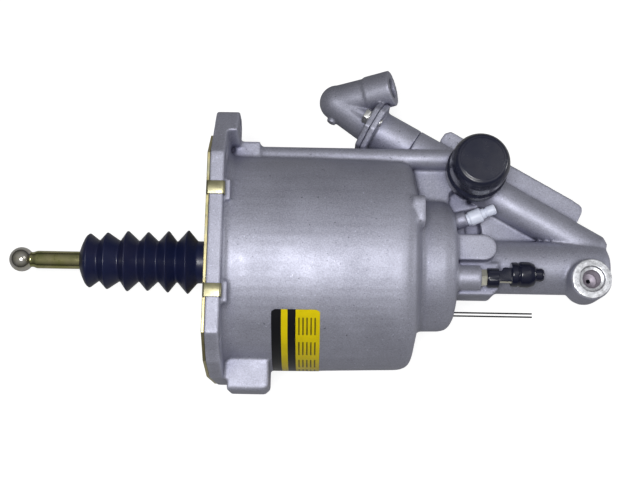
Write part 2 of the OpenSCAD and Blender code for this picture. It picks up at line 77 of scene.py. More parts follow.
# Sizes and places repeated from the part's source
CLIP_T = 1
CLIP_W = 8.5
CLIP_YS = (-31.5, 34.5)
ROD_R = 6.15
TAIL_R = 8
BELLOWS_T = 1.8
CAP_Z = 31
PLUG = Vector((159.5, 24.1, 12.5))
SCREW_Z = 18.6
VALVE_ANGLE = math.radians(29.5)
VALVE = Vector((183, 58.2, 0))
VALVE_DIR = Vector((math.cos(VALVE_ANGLE), -math.sin(VALVE_ANGLE), 0))
VALVE_UP = Vector((-VALVE_DIR.y, VALVE_DIR.x, 0))
VALVE_SPRING_L = 15.5
POPPET_SPRING_L = 14.7
# Outside of the air cylinder: x and radius at three places along its taper
BODY_TAPER = ((2, 74.2), (70, 73.8), (126, 72.3))
# The label's ends on the cylinder, in degrees from +Z towards -Y
LABEL_ANGLES = (33.2, 97.8)


def cad_box(node):
    """Lowest and highest corner of a CAD node at rest, to the nearest tenth of a millimetre."""
    corners = NODES[node].bound_box
    return [[round(end(c[i] for c in corners) / MM, 1) for i in range(3)] for end in (min, max)]


def cad_middle(node):
    return Vector([(low + high) / 2 for low, high in zip(*cad_box(node))])


# Sizes and places read from the frame
FLANGE_Z = cad_box("housing")[1][2]
FLANGE_END = cad_box("cover_clips")[1][0] - CLIP_T
BELLOWS_END = -cad_box("bellows")[0][0]
BALL_R = cad_box("pushrod")[1][2]
BALL_X = cad_box("pushrod")[0][0] + BALL_R
TAIL_X = cad_box("pushrod")[1][0] - TAIL_R
SPRING_X, SPRING_END = (corner[0] for corner in cad_box("return_spring"))
LABEL_X = [corner[0] for corner in cad_box("label")]
CAP = Vector((*cad_middle("breather_cap").xy, 0))
PORT = Vector((*cad_middle("port_ring").xy, 0))
PORT_FACE = cad_box("port_ring")[1][2]
BLEED_AXIS = Vector((0, *cad_middle("bleed_screw").yz))
FLOOR_Z = CAD_BOX[0][2] / MM - 0.5


# Meshes

def new_object(name, data):
    obj = bpy.data.objects.new(name, data)
    bpy.context.scene.collection.objects.link(obj)
    return obj


def mesh_object(name, bm, smooth_angle=35):
    """Object from a bmesh, smooth except at edges sharper than smooth_angle degrees."""
    mesh = bpy.data.meshes.new(name)
    bm.to_mesh(mesh)
    bm.free()
    for face in mesh.polygons:
        face.use_smooth = True
    mesh.set_sharp_from_angle(angle=math.radians(smooth_angle))
    return new_object(name, mesh)


def clean_object(name, bm, smooth_angle=35):
    """The same, with doubled vertices merged and the faces turned outwards."""
    bmesh.ops.remove_doubles(bm, verts=bm.verts, dist=1e-7)
    bmesh.ops.recalc_face_normals(bm, faces=bm.faces)
    return mesh_object(name, bm, smooth_angle)


def skin(bm, rings):
    """Quads from each ring of vertices to the next, and a face over each end."""
    for a, b in zip(rings, rings[1:]):
        for i in range(len(a)):
            j = (i + 1) % len(a)
            bm.faces.new((a[i], a[j], b[j], b[i]))
    bm.faces.new(rings[0][::-1])
    bm.faces.new(rings[-1])


def bevel_edges(bm, width, segments, least_angle):
    """Round each edge sharper than least_angle degrees by width millimetres."""
    bmesh.ops.recalc_face_normals(bm, faces=bm.faces)
    sharp = math.radians(least_angle)
    edges = [e for e in bm.edges if len(e.link_faces) == 2 and e.calc_face_angle(0) > sharp]
    bmesh.ops.bevel(bm, geom=edges, offset=width * MM, segments=segments, profile=0.5,
                    affect="EDGES", clamp_overlap=True)


def frame_matrix(origin, axis, side=None):
    """Matrix whose local Z is axis and whose local X is side, placed at origin in millimetres."""
    w = Vector(axis).normalized()
    u = Vector(side) if side is not None else (Y if abs(w.dot(Y)) < 0.9 else X)
    u = (u - w * u.dot(w)).normalized()
    turn = Matrix((u, w.cross(u), w)).transposed().to_4x4()
    return Matrix.Translation(Vector(origin) * MM) @ turn


def rounded(points, closed=True, n=4):
    """Corner points (r, z) or (r, z, fillet) in millimetres turned into a profile with rounded corners."""
    out = []
    count = len(points)
    for i, point in enumerate(points):
        fillet = point[2] if len(point) > 2 else 0
        here = Vector(point[:2])
        if fillet <= 0 or (not closed and i in (0, count - 1)):
            out.append(here)
            continue
        back = Vector(points[i - 1][:2]) - here
        ahead = Vector(points[(i + 1) % count][:2]) - here
        start = here + back.normalized() * min(fillet, back.length * 0.48)
        end = here + ahead.normalized() * min(fillet, ahead.length * 0.48)
        for k in range(n + 1):
            t = k / n
            out.append(start * (1 - t) ** 2 + here * 2 * t * (1 - t) + end * t ** 2)
    return out


def lathe(name, points, origin=(0, 0, 0), axis=X, seg=96, n=4, smooth_angle=35):
    """Closed profile of (r, z[, fillet]) millimetres turned about axis."""
    place = frame_matrix(origin, axis)
    turns = [2 * math.pi * i / seg for i in range(seg)]
    bm = bmesh.new()
    rings = []
    for r, z in rounded(points, n=n):
        if r < 1e-6:
            rings.append([bm.verts.new(place @ Vector((0, 0, z * MM)))] * seg)
        else:
            rings.append([bm.verts.new(place @ Vector((r * MM * math.cos(a), r * MM * math.sin(a), z * MM)))
                          for a in turns])
    for a, b in zip(rings, rings[1:] + rings[:1]):
        for i in range(seg):
            j = (i + 1) % seg
            # A ring on the axis is one vertex repeated, so the quad there becomes a triangle
            corners = list(dict.fromkeys((a[i], a[j], b[j], b[i])))
            if len(corners) > 2:
                bm.faces.new(corners)
    return clean_object(name, bm, smooth_angle)


def tube(name, path, radius, seg):
    """Round wire of radius millimetres along points in millimetres, with flat ends."""
    bm = bmesh.new()
    rings = []
    normal = None
    for i, p in enumerate(path):
        t = (path[min(i + 1, len(path) - 1)] - path[max(i - 1, 0)]).normalized()
        if normal is None:
            normal = t.orthogonal().normalized()
        normal = (normal - t * normal.dot(t)).normalized()
        side = t.cross(normal)
        ring = []
        for k in range(seg):
            a = 2 * math.pi * k / seg
            ring.append(bm.verts.new((p + (normal * math.cos(a) + side * math.sin(a)) * radius) * MM))
        rings.append(ring)
    skin(bm, rings)
    return clean_object(name, bm, 50)


def prism(name, outline, height, place, bevel, segments=3):
    """Outline of (x, y) millimetres raised by height millimetres, with its edges rounded."""
    bm = bmesh.new()
    skin(bm, [[bm.verts.new(place @ Vector((x * MM, y * MM, z * MM))) for x, y in outline]
              for z in (0, height)])
    bevel_edges(bm, bevel, segments, 25)
    return clean_object(name, bm)


def left_normals(path):
    """Unit normals to the left of a flat path, one for each of its points."""
    normals = []
    for i in range(len(path)):
        t = (path[min(i + 1, len(path) - 1)] - path[max(i - 1, 0)]).normalized()
        normals.append(Vector((-t.y, t.x)))
    return normals


def strip(name, path, width, thick, origin, along, up, across):
    """Sheet strip: a path in millimetres in the plane of along and up, thick millimetres to its left."""
    bm = bmesh.new()
    rings = []
    for p, n in zip(path, left_normals(path)):
        ring = []
        for side, lift in ((-1, 0), (1, 0), (1, thick), (-1, thick)):
            flat = p + n * lift
            place = Vector(origin) + along * flat.x + up * flat.y + across * side * width / 2
            ring.append(bm.verts.new(place * MM))
        rings.append(ring)
    skin(bm, rings)
    bevel_edges(bm, 0.18, 2, 50)
    return clean_object(name, bm)


def join(name, objs):
    """One object out of several, in place."""
    bm = bmesh.new()
    for obj in objs:
        bm.from_mesh(obj.data)
    for obj in objs:
        mesh = obj.data
        bpy.data.objects.remove(obj)
        bpy.data.meshes.remove(mesh)
    return mesh_object(name, bm)


def casting(node, name, voxel, rounds):
    """Copy of a CAD node, remeshed and smoothed so that its edges and corners get a casting's fillets."""
    raw = NODES[node].data.copy()
    obj = new_object(name + "_raw", raw)
    remesh = obj.modifiers.new("remesh", "REMESH")
    remesh.mode = "VOXEL"
    remesh.voxel_size = voxel * MM
    smooth = obj.modifiers.new("smooth", "SMOOTH")
    smooth.factor = 0.5
    smooth.iterations = rounds
    bpy.context.view_layer.update()
    depsgraph = bpy.context.evaluated_depsgraph_get()
    mesh = bpy.data.meshes.new_from_object(obj.evaluated_get(depsgraph))
    bpy.data.objects.remove(obj)
    bpy.data.meshes.remove(raw)
    mesh.name = name
    mesh.materials.clear()
    for face in mesh.polygons:
        face.use_smooth = True
    return new_object(name, mesh)


# Materials

def grey(level):
    return (level, level, level)


class Nodes:
    """Small helper to wire one material. Colours are linear, noise scales are per metre."""

    def __init__(self, name):
        self.material = bpy.data.materials.new(name)
        self.material.use_nodes = True
        self.tree = self.material.node_tree
        self.bsdf = self.tree.nodes["Principled BSDF"]
        self.coords = self.new("ShaderNodeTexCoord").outputs["Object"]

    def new(self, kind, **settings):
        node = self.tree.nodes.new(kind)
        for key, value in settings.items():
            setattr(node, key, value)
        return node

    def link(self, a, b):
        self.tree.links.new(a, b)

    def noise(self, scale, detail=4, rough=0.55, stretch=None):
        node = self.new("ShaderNodeTexNoise")
        node.inputs["Scale"].default_value = scale
        node.inputs["Detail"].default_value = detail
        node.inputs["Roughness"].default_value = rough
        source = self.coords
        if stretch:
            mapping = self.new("ShaderNodeMapping")
            mapping.inputs["Scale"].default_value = stretch
            self.link(source, mapping.inputs["Vector"])
            source = mapping.outputs["Vector"]
        self.link(source, node.inputs["Vector"])
        return node.outputs["Fac"]

    def ramp(self, value, stops, constant=False):
        node = self.new("ShaderNodeValToRGB")
        if constant:
            node.color_ramp.interpolation = "CONSTANT"
        elements = node.color_ramp.elements
        while len(elements) < len(stops):
            elements.new(0.5)
        for element, (place, colour) in zip(elements, stops):
            element.position = place
            element.color = (*colour, 1)
        self.link(value, node.inputs["Fac"])
        return node.outputs["Color"]

    def maths(self, operation, a, b=0.0):
        node = self.new("ShaderNodeMath", operation=operation)
        for socket, value in zip(node.inputs, (a, b)):
            if isinstance(value, (int, float)):
                socket.default_value = value
            else:
                self.link(value, socket)
        return node.outputs["Value"]

    def mix(self, share, a, b, blend="MIX"):
        node = self.new("ShaderNodeMix", data_type="RGBA", blend_type=blend)
        sockets = [s for s in node.inputs if s.enabled]
        for socket, value in zip(sockets, (share, a, b)):
            if isinstance(value, (int, float)):
                socket.default_value = value
            elif isinstance(value, tuple):
                socket.default_value = (*value, 1)
            else:
                self.link(value, socket)
        return [s for s in node.outputs if s.enabled][0]

    def times(self, a, b):
        return self.mix(1.0, a, b, "MULTIPLY")

    def bump(self, height, strength, distance):
        """Bump of distance millimetres."""
        node = self.new("ShaderNodeBump")
        node.inputs["Strength"].default_value = strength
        node.inputs["Distance"].default_value = distance * MM
        self.link(height, node.inputs["Height"])
        return node.outputs["Normal"]

    def patchy(self, scale, detail, rough, *stops):
        """Roughness in patches: stops of a place on the noise and a share of rough."""
        return self.ramp(self.noise(scale, detail), [(place, grey(rough * share)) for place, share in stops])

    def principled(self, **values):
        """Set or link sockets of the Principled BSDF and return the material."""
        for key, value in values.items():
            socket = self.bsdf.inputs[key.replace("_", " ")]
            if isinstance(value, tuple):
                socket.default_value = (*value, 1)
            elif isinstance(value, (int, float)):
                socket.default_value = value
            else:
                self.link(value, socket)
        return self.material


def cast_aluminium(name="cast_aluminium", level=1.0):
    """Blasted die casting: cloudy tone, grain, drag marks, pits, bright specks, edges lighter where worn and
    from painted highlight, painted shade in concave edges, corners and hollows.
    """
    s = Nodes(name)
    dull = (0.36 * level, 0.365 * level, 0.44 * level)
    clear = (0.43 * level, 0.435 * level, 0.52 * level)
    colour = s.ramp(s.noise(28, 5), [(0.3, dull), (0.7, clear)])
    grain = s.ramp(s.noise(1100, 3, 0.7), [(0.35, grey(0.80)), (0.65, grey(1.12))])
    drag = s.ramp(s.noise(90, 5, 0.6, (0.12, 1, 1)), [(0.3, grey(0.94)), (0.7, grey(1.05))])
    pits = s.ramp(s.noise(520, 2, 0.4), [(0.24, grey(0.55)), (0.29, grey(1))])
    specks = s.ramp(s.noise(640, 2, 0.4), [(0.70, grey(1)), (0.76, grey(1.4))])
    edge = s.new("ShaderNodeNewGeometry").outputs["Pointiness"]
    # Pointiness: convex edges lighter, partly worn metal and partly painted highlight; concave edges darker,
    # painted shade
    edge_wear_and_shade = s.ramp(edge, [(0.44, grey(0.66)), (0.5, grey(1)), (0.58, grey(1.18))])
    layers = [grain, drag, pits, specks, edge_wear_and_shade]
    # Painted shade: narrow and dark in tight corners, wide and faint in hollows
    for reach, dark in ((4, 0.38), (16, 0.66)):
        crease_shade = s.new("ShaderNodeAmbientOcclusion", samples=8)
        crease_shade.inputs["Distance"].default_value = reach * MM
        layers.append(s.ramp(crease_shade.outputs["AO"], [(0.25, (dark, dark, dark * 1.15)), (0.85, grey(1))]))
    for layer in layers:
        colour = s.times(colour, layer)
    fine, coarse = s.noise(950, 4, 0.65), s.noise(330, 3)
    height = s.maths("ADD", s.maths("MULTIPLY", fine, 0.6), s.maths("MULTIPLY", coarse, 0.7))
    rough = s.ramp(s.noise(60, 4), [(0.3, grey(0.50)), (0.7, grey(0.62))])
    return s.principled(Base_Color=colour, Metallic=0.55, Roughness=rough, Normal=s.bump(height, 0.35, 0.25),
                        Specular_IOR_Level=0.25)


def turned(name, tone, rough=0.28, metal=1.0, pitch=1500, axis="Z", centre=(0, 0, 0), bump=0.12, stain=0.92):
    """Turned or ground metal: fine rings about an axis, with a little unevenness and stain."""
    s = Nodes(name)
    place = s.new("ShaderNodeMapping")
    place.inputs["Location"].default_value = tuple(-c * MM for c in centre)
    s.link(s.coords, place.inputs["Vector"])
    split = s.new("ShaderNodeSeparateXYZ")
    s.link(place.outputs["Vector"], split.inputs["Vector"])
    a, b = [split.outputs[letter] for letter in "XYZ" if letter != axis]
    radius = s.maths("SQRT", s.maths("ADD", s.maths("MULTIPLY", a, a), s.maths("MULTIPLY", b, b)))
    across = s.new("ShaderNodeCombineXYZ")
    s.link(radius, across.inputs["X"])
    s.link(split.outputs[axis], across.inputs["Y"])
    rings = s.new("ShaderNodeTexNoise")
    rings.inputs["Scale"].default_value = pitch
    rings.inputs["Detail"].default_value = 3
    s.link(across.outputs["Vector"], rings.inputs["Vector"])
    colour = s.ramp(rings.outputs["Fac"], [(0.35, tuple(c * 0.78 for c in tone)), (0.65, tone)])
    colour = s.times(colour, s.ramp(s.noise(480, 4, 0.6), [(0.36, grey(stain)), (0.6, grey(1.05))]))
    return s.principled(Base_Color=colour, Metallic=metal, Normal=s.bump(rings.outputs["Fac"], bump, 0.08),
                        Roughness=s.patchy(90, 3, rough, (0.35, 0.8), (0.7, 1.35)))


def plated(name, tones, rough=0.3, metal=0.95, bump=0.1, grain=700):
    """Zinc plating with its cloudy colours, dull spots and fine grain."""
    s = Nodes(name)
    stops = [(0.28 + 0.44 * i / (len(tones) - 1), tone) for i, tone in enumerate(tones)]
    colour = s.ramp(s.noise(75, 6, 0.6), stops)
    spots = s.ramp(s.noise(420, 3, 0.5), [(0.26, grey(0.6)), (0.36, grey(1))])
    colour = s.mix(0.7, colour, s.times(colour, spots))
    return s.principled(Base_Color=colour, Metallic=metal, Normal=s.bump(s.noise(grain, 4), bump, 0.12),
                        Roughness=s.patchy(140, 4, rough, (0.3, 0.75), (0.75, 1.5)))


def rubber(name, tone, rough, bump, dust, level, blue=2.0):
    """Moulded rubber: fine skin, dusty bloom in patches; blue is the tone's blue over its red."""
    s = Nodes(name)
    clean = (tone, tone * (0.9 + blue * 0.1), tone * blue)
    dusty = (tone + dust, tone + dust, tone * blue * 0.8 + dust)
    bloom = s.ramp(s.noise(45, 6, 0.65), [(0.42, clean), (0.8, dusty)])
    height = s.maths("ADD", s.maths("MULTIPLY", s.noise(1300, 3), 0.5), s.noise(240, 3))
    return s.principled(Base_Color=bloom, Normal=s.bump(height, bump, 0.12), Specular_IOR_Level=level,
                        Roughness=s.patchy(120, 4, rough, (0.3, 0.85), (0.7, 1.25)))


def plastic(name, tones, rough):
    """Moulded plastic: faint flow marks and a fine skin."""
    s = Nodes(name)
    colour = s.ramp(s.noise(60, 4, 0.5, (1, 3, 1)), [(0.35, tones[0]), (0.65, tones[1])])
    return s.principled(Base_Color=colour, Normal=s.bump(s.noise(600, 3), 0.1, 0.08),
                        Roughness=s.patchy(200, 3, rough, (0.3, 0.85), (0.7, 1.2)))


def label_film():
    """Yellow film with plain black bands and thin bars; no lettering."""
    s = Nodes("label_film")
    yellow, black = (0.76, 0.60, 0.004), (0.008, 0.008, 0.01)
    bar_pitch, cuts_per_turn = 2.6, 23.0
    split = s.new("ShaderNodeSeparateXYZ")
    s.link(s.coords, split.inputs["Vector"])
    along = s.new("ShaderNodeMapRange")
    along.inputs["From Min"].default_value = LABEL_X[0] * MM
    along.inputs["From Max"].default_value = LABEL_X[1] * MM
    s.link(split.outputs["X"], along.inputs["Value"])
    share = along.outputs["Result"]
    bands = s.ramp(share, [(0.0, black), (0.2, yellow), (0.335, black), (0.5, yellow)], constant=True)
    # Bars stand in for lines of print: across the wide yellow field, in three blocks
    angle = s.maths("ARCTAN2", split.outputs["Y"], split.outputs["Z"])
    block = s.maths("GREATER_THAN", s.maths("SINE", s.maths("MULTIPLY", angle, cuts_per_turn)), -0.55)
    wave = s.maths("SINE", s.maths("MULTIPLY", split.outputs["X"], 2 * math.pi / (bar_pitch * MM)))
    bars = s.maths("MULTIPLY", s.maths("GREATER_THAN", wave, 0.35), block)
    field = s.maths("MULTIPLY", s.maths("GREATER_THAN", share, 0.55), s.maths("LESS_THAN", share, 0.94))
    printed = s.maths("MULTIPLY", s.maths("MULTIPLY", bars, field), 0.8)
    grime = s.ramp(s.noise(90, 5), [(0.3, (0.88, 0.88, 0.86)), (0.6, grey(1))])
    colour = s.times(s.mix(printed, bands, black), grime)
    return s.principled(Base_Color=colour, Roughness=0.38, Normal=s.bump(s.noise(500, 3), 0.08, 0.05),
                        Specular_IOR_Level=0.2)


CAST = cast_aluminium()
CAST_ELBOW = cast_aluminium("cast_elbow", 0.78)
MACHINED = turned("machined_aluminium", (0.80, 0.81, 0.85), 0.34, 0.8, 900, centre=PORT, bump=0.3, stain=0.6)
# Threads and drilling of the port: their light mauve-grey is partly the metal's tone and partly a painted
# reflection inside the hole
PORT_HOLE_AND_REFLECTION = turned("port_hole_and_reflection", (0.36, 0.32, 0.38), 0.5, 0.5, centre=PORT)
MACHINED_X = turned("machined_piston", (0.66, 0.66, 0.67), 0.32, 0.9, axis="X")
GROUND = turned("ground_steel", (0.72, 0.72, 0.73), 0.14, 1.0, 2400, axis="X", bump=0.04)
BRASS = turned("brass", (0.72, 0.52, 0.22), 0.28, 1.0, axis="X")
YELLOW_ZINC = plated("yellow_zinc_steel", [(0.36, 0.37, 0.19), (0.50, 0.44, 0.23), (0.40, 0.41, 0.30)], 0.32)
CLIP_ZINC = plated("clip_zinc", [(0.20, 0.20, 0.12), (0.30, 0.28, 0.17), (0.22, 0.23, 0.17)], 0.36)
PUSHROD_ZINC = plated("yellow_zinc_pushrod",
                      [(0.36, 0.36, 0.13), (0.46, 0.43, 0.22), (0.30, 0.32, 0.12)], 0.13)
BALL_ZINC = plated("ball_zinc", [(0.46, 0.43, 0.36), (0.62, 0.60, 0.56), (0.50, 0.47, 0.33)], 0.1)
BLEED_ZINC = plated("bleed_zinc", [(0.62, 0.60, 0.50), (0.74, 0.73, 0.64), (0.56, 0.52, 0.36)], 0.34, 0.8)
ZINC = plated("zinc_steel", [grey(0.56), (0.68, 0.68, 0.67)], 0.34)
SPRING = plated("spring_steel", [(0.16, 0.16, 0.17), (0.24, 0.24, 0.25)], 0.3)
WIRE = plated("indicator_steel", [(0.010, 0.010, 0.012), (0.022, 0.022, 0.024)], 0.5, 0.6)
BRONZE = plated("sintered_bronze", [(0.33, 0.26, 0.16), (0.45, 0.37, 0.24)], 0.7, 0.7, 0.8, 1500)
RUBBER = rubber("black_rubber", 0.008, 0.42, 0.25, 0.02, 0.25)
BELLOWS_RUBBER = rubber("bellows_rubber", 0.0085, 0.34, 0.3, 0.010, 0.34, 5.6)
CAP_RUBBER = rubber("cap_rubber", 0.014, 0.24, 0.2, 0.02, 0.5, 2.4)
BLEED_RUBBER = rubber("bleed_rubber", 0.006, 0.2, 0.15, 0.008, 0.5, 4.0)
BROWN = plastic("brown_plastic", ((0.13, 0.085, 0.045), (0.17, 0.11, 0.06)), 0.5)
NYLON = plastic("white_nylon", ((0.70, 0.74, 0.88), (0.77, 0.81, 0.94)), 0.35)
LABEL = label_film()

# CAD nodes that are shown as they are, with their looks and the widths of their edge bevels
CAD_LOOKS = {
    "cover_plate": YELLOW_ZINC, "stop_ring": SPRING, "air_piston": MACHINED_X, "piston_seal": RUBBER,
    "guide_ring": BROWN, "piston_rod": GROUND, "hydraulic_piston": MACHINED_X, "hydraulic_seal": RUBBER,
    "rod_clip": SPRING, "rod_gland": BRASS, "gland_seal": RUBBER, "elbow_seal": RUBBER, "valve_seat": BRASS,
    "inlet_poppet": RUBBER, "control_piston": BRASS, "control_seals": RUBBER, "exhaust_filter": BRONZE,
    "bleed_screw": BLEED_ZINC, "indicator_bush": RUBBER, "valve_cover": ZINC, "cover_screws": ZINC,
    "wear_indicator": WIRE,
}
CAD_BEVELS = {"cover_plate": 0.4, "valve_cover": 0.3, "cover_screws": 0.25, "bleed_screw": 0.2}


def dress_cad():
    for name, look in CAD_LOOKS.items():
        NODES[name].data.materials.clear()
        NODES[name].data.materials.append(look)
    for name, width in CAD_BEVELS.items():
        weld = NODES[name].modifiers.new("weld", "WELD")
        weld.merge_threshold = 1e-6
        bevel = NODES[name].modifiers.new("bevel", "BEVEL")
        bevel.width = width * MM
        bevel.segments = 2
        bevel.limit_method = "ANGLE"
        bevel.angle_limit = math.radians(40)


def finish_piece(obj, look, body, slot_name, *nodes):
    """Give a piece its look and body, in place of CAD nodes; slot_name is not used."""
    obj.data.materials.clear()
    obj.data.materials.append(look)
    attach(obj, body)
    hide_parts(*nodes)


def second_look(obj, look, chosen):
    """Put another material on the faces whose centre, in millimetres, is chosen."""
    obj.data.materials.append(look)
    for face in obj.data.polygons:
        face.material_index = 1 if chosen(face.center / MM) else 0


# Pieces

def castings():
    for node, name, voxel, rounds, look in (("housing", "housing_casting", 1.05, 4, CAST),
                                            ("inlet_elbow", "elbow_casting", 0.8, 4, CAST_ELBOW),
                                            ("inlet_tube", "inlet_tube_casting", 0.8, 3, CAST)):
        finish_piece(casting(node, name, voxel, rounds), look, "housing", "cast_aluminium", node)


def clips():
    """Four bent spring clips over the plate and the flange rim."""
    front_leg, back_leg, bend = 8.6, 4.6, 1.1
    half = CLIP_T * 0.5
    front, back, top = half, FLANGE_END + half, FLANGE_Z + half
    corners = [(front, top - front_leg), (front, top, bend), (back, top, bend), (back, top - back_leg)]
    middle = rounded(corners, closed=False, n=5)
    path = [p - n * half for p, n in zip(middle, left_normals(middle))]
    parts = [strip(f"clip_{side}_{y}", path, CLIP_W, CLIP_T, (0, y * side, 0), X, Z * side, Y)
             for side in (1, -1) for y in CLIP_YS]
    finish_piece(join("spring_clips", parts), CLIP_ZINC, "housing", "yellow_zinc_steel", "cover_clips")


def bellows():
    """Six folds with narrow ridges; the inside follows at the rubber's thickness."""
    peaks = [(-86.8, 18.8), (-74.6, 19.7), (-60.5, 21), (-46.4, 20.5), (-32.3, 21.4), (-18.4, 22.1)]
    valleys = [(-80.2, 14.4), (-65.9, 14.4), (-52.5, 14.4), (-39.2, 14.4), (-26, 14.4), (-11.3, 14.7)]
    hole_r, neck_r, bead_r = 6.6, 14.7, 17.3
    outside = [(hole_r, -BELLOWS_END, 0.3), (8.2, -BELLOWS_END, 0.6), (12.9, -91.2, 1.6), (17.4, -88.9, 1.6)]
    for (px, pr), (vx, vr) in zip(peaks, valleys):
        outside += [(pr, px - 0.3, 0.45), (pr, px + 0.3, 0.45), (vr, vx - 0.5, 1.0)]
        if vr < neck_r:
            outside.append((vr, vx + 0.5, 1.0))
    outside += [(neck_r, 2), (bead_r, 2.1, 0.3), (bead_r, 3.9, 0.3), (11, 4, 0.3)]
    inside = [(neck_r - BELLOWS_T, valleys[-1][0], 1.0)]
    for (px, pr), (vx, vr) in zip(peaks[:0:-1], valleys[-2::-1]):
        inside += [(pr - BELLOWS_T, px, 0.8), (vr - BELLOWS_T, vx, 0.8)]
    inside += [(16.8, -86.8, 0.5), (10.6, -87.8, 0.5), (hole_r, -87.8, 0.3)]
    obj = lathe("bellows_skin", outside + inside, seg=128, n=4, smooth_angle=60)
    finish_piece(obj, BELLOWS_RUBBER, "housing", "black_rubber", "bellows")
    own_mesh(obj)


def arc(centre, radius, first, last):
    """Points of a ball's profile, on a division of its half turn into 26 steps."""
    angles = [math.pi * k / 26 for k in range(first, last + 1)]
    return [(radius * math.sin(a), centre - radius * math.cos(a)) for a in angles]


def pushrod():
    """Ball, neck, stem, and the tail ball that sits in the air piston's socket."""
    neck_r, stem_end = 5.2, 6.5
    profile = [(0, BALL_X - BALL_R)] + arc(BALL_X, BALL_R, 1, 20)
    profile += [(neck_r, BALL_X + 6.9, 0.5), (neck_r, BALL_X + 8.3, 0.8), (ROD_R, BALL_X + 11, 0.8),
                (ROD_R, stem_end), (neck_r, 7.4, 0.4), (neck_r, 8)]
    profile += arc(TAIL_X, TAIL_R, 6, 24) + [(0, TAIL_X + TAIL_R)]
    obj = lathe("pushrod_turned", profile, seg=72, n=4, smooth_angle=40)
    finish_piece(obj, PUSHROD_ZINC, "piston", "yellow_zinc_steel", "pushrod")
    second_look(obj, BALL_ZINC, lambda p: p.x < BALL_X + 6.6)


def coil(name, start, axis, radius, wire, length, turns, node):
    """Round wire spring with one closed turn at each end, along axis from start."""
    steps = 28
    closed_turn = 2 * wire * 1.02
    free = length - 2 * wire - 2 * closed_turn
    w = axis.normalized()
    u = w.orthogonal().normalized()
    v = w.cross(u)
    path = []
    for i in range((turns + 2) * steps + 1):
        t = i / steps
        if t < 1:
            rise = t * closed_turn
        elif t > 1 + turns:
            rise = closed_turn + free + (t - 1 - turns) * closed_turn
        else:
            rise = closed_turn + free * (t - 1) / turns
        a = 2 * math.pi * t
        path.append(start + w * (wire + rise) + (u * math.cos(a) + v * math.sin(a)) * radius)
    obj = tube(name, path, wire, 10)
    finish_piece(obj, SPRING, "housing", "spring_steel", node)
    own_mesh(obj)


def springs():
    """Return spring of the piston, and the two small springs of the control valve."""
    length, play = SPRING_END - SPRING_X, 0.1
    coil("return_coil", X * SPRING_X, X, radius=27, wire=2, length=length, turns=6, node="return_spring")
    seat, root = VALVE + VALVE_DIR * -25.5, VALVE + VALVE_DIR * -50
    coil("valve_coil", seat, VALVE_DIR, radius=6.6, wire=0.8, length=VALVE_SPRING_L - play, turns=4,
         node="valve_spring")
    coil("poppet_coil", root, VALVE_DIR, radius=4.6, wire=0.6, length=POPPET_SPRING_L - play, turns=4,
         node="poppet_spring")


def cap():
    """Stepped breather cap with its grip groove."""
    skirt_r, groove_r, crown_r, seat_r, filter_r = 20.7, 18.9, 19.6, 17.8, 15.8
    outside = [(seat_r, 27), (crown_r, 26.5, 0.6), (skirt_r, 27.2, 0.8), (skirt_r, 36.8, 1.0),
               (crown_r, 37.9, 0.5), (groove_r, 38.6, 0.6), (groove_r, 40.4, 0.6), (crown_r, 41.2, 0.5),
               (crown_r, 54.5, 2.5), (18.3, 59.0, 2.0), (16.3, 61.9, 1.6), (14.6, 62.0, 0.6),
               (14.3, 62.25, 0.3), (0, 62.3)]
    inside = [(0, 58.8), (14.2, 58.8, 1), (filter_r, 57, 1), (filter_r, CAP_Z), (seat_r, CAP_Z)]
    obj = lathe("breather_cap_skin", outside + inside, CAP, Z, 128, 5, 40)
    finish_piece(obj, CAP_RUBBER, "housing", "black_rubber", "breather_cap")


def port():
    """Machined ring of the hydraulic port with its threaded hole and the drilling below."""
    base, seat_r, ring_r, drilling_r = 17, 11.2, 13.3, 1.5
    crest_r, root_r, pitch = 5.1, 5.65, 1.5
    rest = PORT_FACE - 1.5
    profile = [(drilling_r, base), (seat_r, base), (seat_r, rest), (ring_r, rest), (ring_r, PORT_FACE, 0.5),
               (9.0, PORT_FACE, 0.3), (8.5, rest + 1.0, 0.2), (8.3, rest - 0.2, 0.3), (6.3, rest - 0.5, 0.3),
               (5.7, rest - 1.3)]
    z = rest - 1.3
    while z > base + 3.4:
        profile += [(root_r, z - 0.35), (crest_r, z - 0.75), (crest_r, z - 0.9), (root_r, z - 1.3)]
        z -= pitch
    profile += [(crest_r, z - 0.4), (crest_r, base + 1.6), (drilling_r, base + 0.6)]
    obj = lathe("port_ring_turned", profile, PORT, Z, 96, 3, 35)
    finish_piece(obj, MACHINED, "housing", "machined_aluminium", "port_ring")
    # The hole's faces take the port hole look, with its painted reflection
    second_look(obj, PORT_HOLE_AND_REFLECTION, lambda p: (p - PORT).xy.length < 6.2 and p.z < rest - 0.6)


def hexagon(across_flats):
    r = across_flats / math.sqrt(3)
    return [(r * math.cos(math.radians(60 * i)), r * math.sin(math.radians(60 * i))) for i in range(6)]


def bolts():
    """Two hexagon screws with washer faces and chamfered heads; places along the valve's axis."""
    head_top, washer_top, seat, tip = -92.2, -88.35, -88.0, -79
    head_flats, head_h, washer_r, shank_r, point_r = 9.9, 3.8, 5.6, 3, 2.4
    shank = [(0, -91.9), (shank_r, -91.9), (shank_r, tip - 0.6, 0.4), (point_r, tip), (0, tip)]
    washer = [(3.1, washer_top), (washer_r, washer_top, 0.1), (washer_r, seat), (3.1, seat)]
    parts = []
    for s in (-1, 1):
        at = VALVE + Z * (SCREW_Z * s)
        place = frame_matrix(at + VALVE_DIR * head_top, VALVE_DIR, VALVE_UP)
        parts.append(prism(f"hex_{s}", hexagon(head_flats), head_h, place, 0.35, 2))
        parts.append(lathe(f"shank_{s}", shank, at, VALVE_DIR, 32))
        parts.append(lathe(f"washer_{s}", washer, at, VALVE_DIR, 48))
    finish_piece(join("elbow_screws", parts), ZINC, "housing", "zinc_steel", "elbow_bolts")


